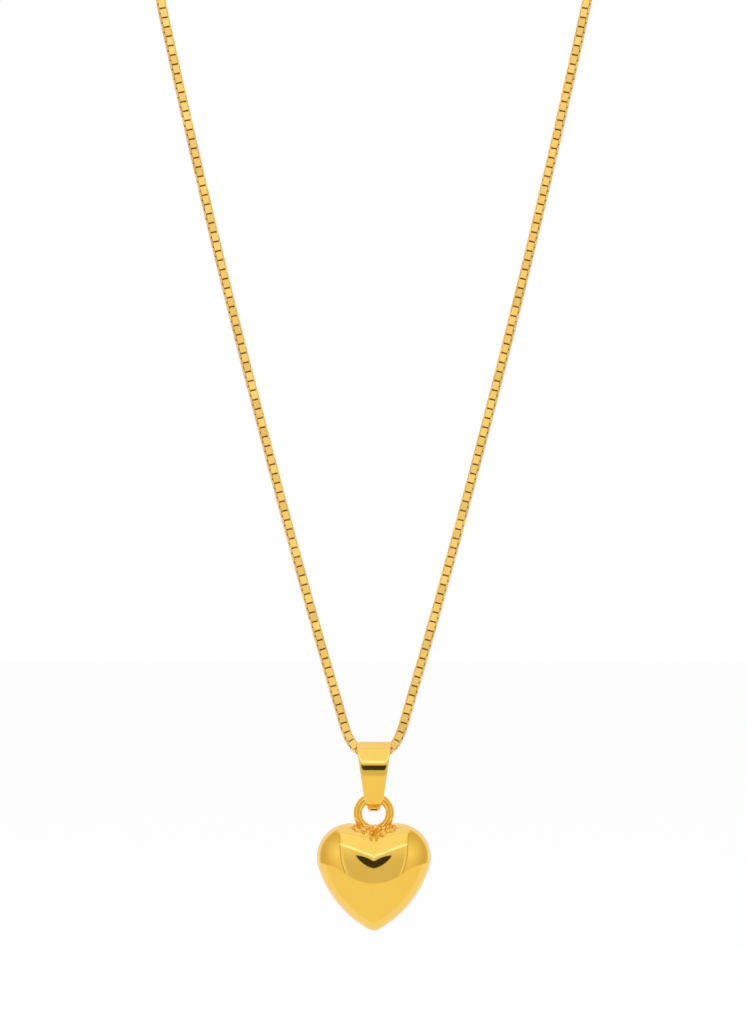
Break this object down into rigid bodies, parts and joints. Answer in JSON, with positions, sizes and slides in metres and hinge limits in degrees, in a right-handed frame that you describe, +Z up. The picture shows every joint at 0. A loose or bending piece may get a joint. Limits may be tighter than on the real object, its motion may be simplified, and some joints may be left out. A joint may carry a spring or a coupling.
{
  "type": "pendant necklace",
  "caption": "Fine box chain necklace with a puffed heart pendant on a folded bail, closed by a lobster clasp.",
  "frame": {"origin": "midway between the two places at the top of the loop where the necklace rests", "axes": "+Z up, +X to the viewer's right, the pendant faces -Y"},
  "size_m": [0.0818, 0.0054, 0.1984],
  "materials": {
    "heart_gold": "polished yellow gold",
    "bail_gold": "polished yellow gold strip",
    "wire_gold": "polished round gold wire",
    "solder_gold": "rough gold solder",
    "chain_gold": "bright diamond-cut box links",
    "clasp_gold": "tumbled cast gold",
    "spring_steel": "spring wire"
  },
  "bodies": {
    "chain": {"box_chain": "chain_gold", "left_end_ring": "wire_gold", "right_end_ring": "wire_gold", "clasp_jump_ring": "wire_gold", "catch_ring": "wire_gold", "clasp_body": "clasp_gold", "lever_rivet": "clasp_gold", "lever_spring": "spring_steel"},
    "bail": {"bail_strip": "bail_gold", "bail_tip_solder": "solder_gold"},
    "heart": {"heart_front_shell": "heart_gold", "heart_back_shell": "heart_gold", "heart_seam_solder": "solder_gold", "heart_loop": "wire_gold", "loop_solder": "solder_gold"},
    "lever": {"clasp_lever": "clasp_gold"}
  },
  "joints": [
    {"name": "bail_swing", "type": "hinge", "parent": "chain", "child": "bail", "pos_m": [0, 0, -0.17727], "axis": [1, 0, 0], "range_deg": [-95, 95]},
    {"name": "heart_sway", "type": "hinge", "parent": "bail", "child": "heart", "pos_m": [0, 0, -0.18385], "axis": [0, 1, 0], "range_deg": [-50, 50]},
    {"name": "lever_open", "type": "hinge", "parent": "chain", "child": "lever", "pos_m": [0.001, 0, -0.00475], "axis": [0, -1, 0], "range_deg": [0, 25], "stiffness_Nm_per_rad": 0.0002, "springref_deg": -11.46}
  ]
}
